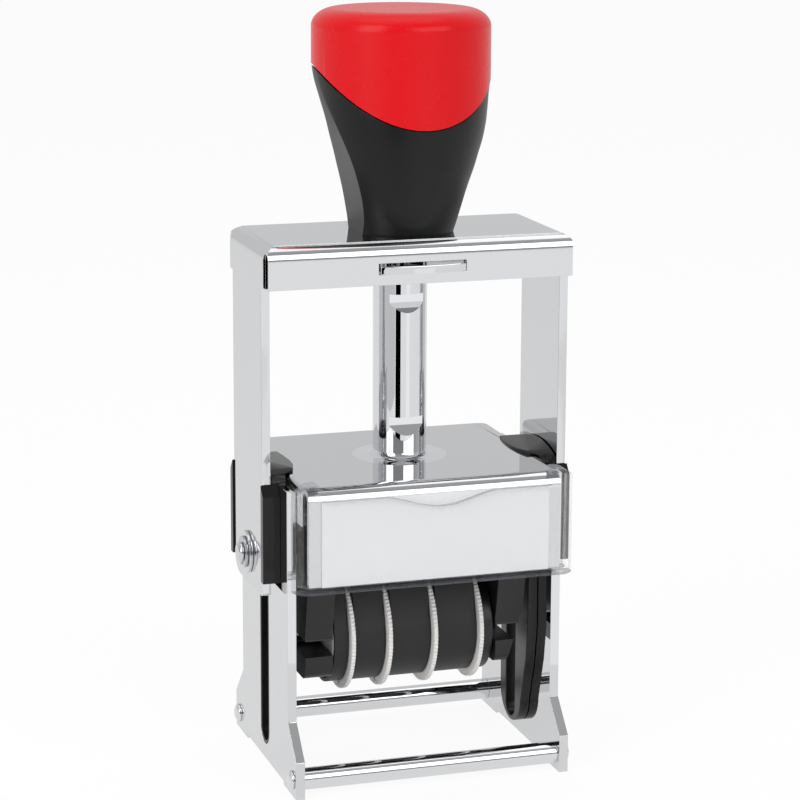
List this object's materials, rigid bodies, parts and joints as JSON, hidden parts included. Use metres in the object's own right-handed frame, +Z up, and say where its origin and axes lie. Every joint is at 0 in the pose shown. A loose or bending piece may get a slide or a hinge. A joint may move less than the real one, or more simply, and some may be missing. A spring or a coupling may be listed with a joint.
{
  "type": "self-inking date stamp",
  "caption": "Press-down self-inking stamp with a yoke, a text unit that flips over, and date thumbwheels.",
  "frame": {"origin": "on the floor, midway between the side plates, below the column's axis", "axes": "+X to the right, +Y to the back, +Z up; the window is on the -Y side"},
  "size_m": [0.064, 0.048, 0.1434],
  "materials": {
    "chrome_plate": "polished chrome plating",
    "housing_metal": "satin chrome plating",
    "spring_steel": "bright drawn wire",
    "rivet_steel": "bright steel",
    "guide_plastic": "black, half gloss",
    "liner_plastic": "black, matt",
    "cover_plastic": "clear moulded plastic",
    "card": "smooth pale card",
    "tray_plastic": "black, matt",
    "felt": "felt soaked with blue ink",
    "handle_plastic": "charcoal, half gloss",
    "cap_plastic": "bright red, half gloss",
    "frame_plastic": "black, fine matt",
    "text_plate": "dark grey, matt",
    "text_rubber": "red-brown stamp rubber",
    "band_rubber": "black rubber",
    "bush_plastic": "natural nylon",
    "wheel_plastic": "off-white, fine matt"
  },
  "bodies": {
    "base": {"side_plate_left": "chrome_plate", "side_plate_right": "chrome_plate", "cross_rod_front": "chrome_plate", "cross_rod_rear": "chrome_plate", "pad_housing": "housing_metal", "housing_rivets": "rivet_steel", "column": "chrome_plate", "side_guide_left": "guide_plastic", "side_guide_right": "guide_plastic", "slot_liner_left": "liner_plastic", "slot_liner_right": "liner_plastic", "window_cover": "cover_plastic", "index_card": "card"},
    "ink_pad": {"ink_pad_tray": "tray_plastic", "ink_pad_felt": "felt"},
    "press": {"bridge": "chrome_plate", "handle_body": "handle_plastic", "handle_cap": "cap_plastic", "handle_screws": "rivet_steel", "return_spring": "spring_steel", "lock_spring": "spring_steel", "pivot_washers": "chrome_plate"},
    "catch": {"lock_catch": "chrome_plate"},
    "date_unit": {"date_frame": "frame_plastic", "text_plate": "text_plate", "text_rubber": "text_rubber", "band_platen": "frame_plastic", "pivot_pin_left": "rivet_steel", "pivot_pin_right": "rivet_steel", "slot_bushes": "bush_plastic", "retaining_rings": "spring_steel", "wheel_axle": "rivet_steel", "drum_spacer": "frame_plastic", "band_1": "band_rubber", "band_2": "band_rubber", "band_3": "band_rubber", "band_4": "band_rubber"},
    "thumbwheel_1": {"wheel_1": "wheel_plastic"},
    "thumbwheel_2": {"wheel_2": "wheel_plastic"},
    "thumbwheel_3": {"wheel_3": "wheel_plastic"},
    "thumbwheel_4": {"wheel_4": "wheel_plastic"}
  },
  "joints": [
    {"name": "handle_press", "type": "slide", "parent": "base", "child": "press", "axis": [0, 0, -1], "range_m": [0, 0.031], "stiffness_N_per_m": 387, "springref_m": -0.0207, "deforming": ["return_spring"]},
    {"name": "unit_flip", "type": "hinge", "parent": "press", "child": "date_unit", "pos_m": [0, 0, 0.042], "axis": [1, 0, 0], "range_deg": [0, 180]},
    {"name": "catch_push", "type": "slide", "parent": "press", "child": "catch", "axis": [0, 1, 0], "range_m": [0, 0.0013], "stiffness_N_per_m": 700, "springref_m": -0.0012},
    {"name": "pad_pull", "type": "slide", "parent": "base", "child": "ink_pad", "axis": [0, 1, 0], "range_m": [0, 0.042]},
    {"name": "wheel_spin_1", "type": "hinge", "parent": "date_unit", "child": "thumbwheel_1", "pos_m": [0, 0, 0.0252], "axis": [1, 0, 0], "continuous": true},
    {"name": "wheel_spin_2", "type": "hinge", "parent": "date_unit", "child": "thumbwheel_2", "pos_m": [0, 0, 0.0252], "axis": [1, 0, 0], "continuous": true},
    {"name": "wheel_spin_3", "type": "hinge", "parent": "date_unit", "child": "thumbwheel_3", "pos_m": [0, 0, 0.0252], "axis": [1, 0, 0], "continuous": true},
    {"name": "wheel_spin_4", "type": "hinge", "parent": "date_unit", "child": "thumbwheel_4", "pos_m": [0, 0, 0.0252], "axis": [1, 0, 0], "continuous": true}
  ],
  "couplings": [
    {"joint": "unit_flip", "follows": "handle_press", "rad_per_m": 101.33}
  ]
}
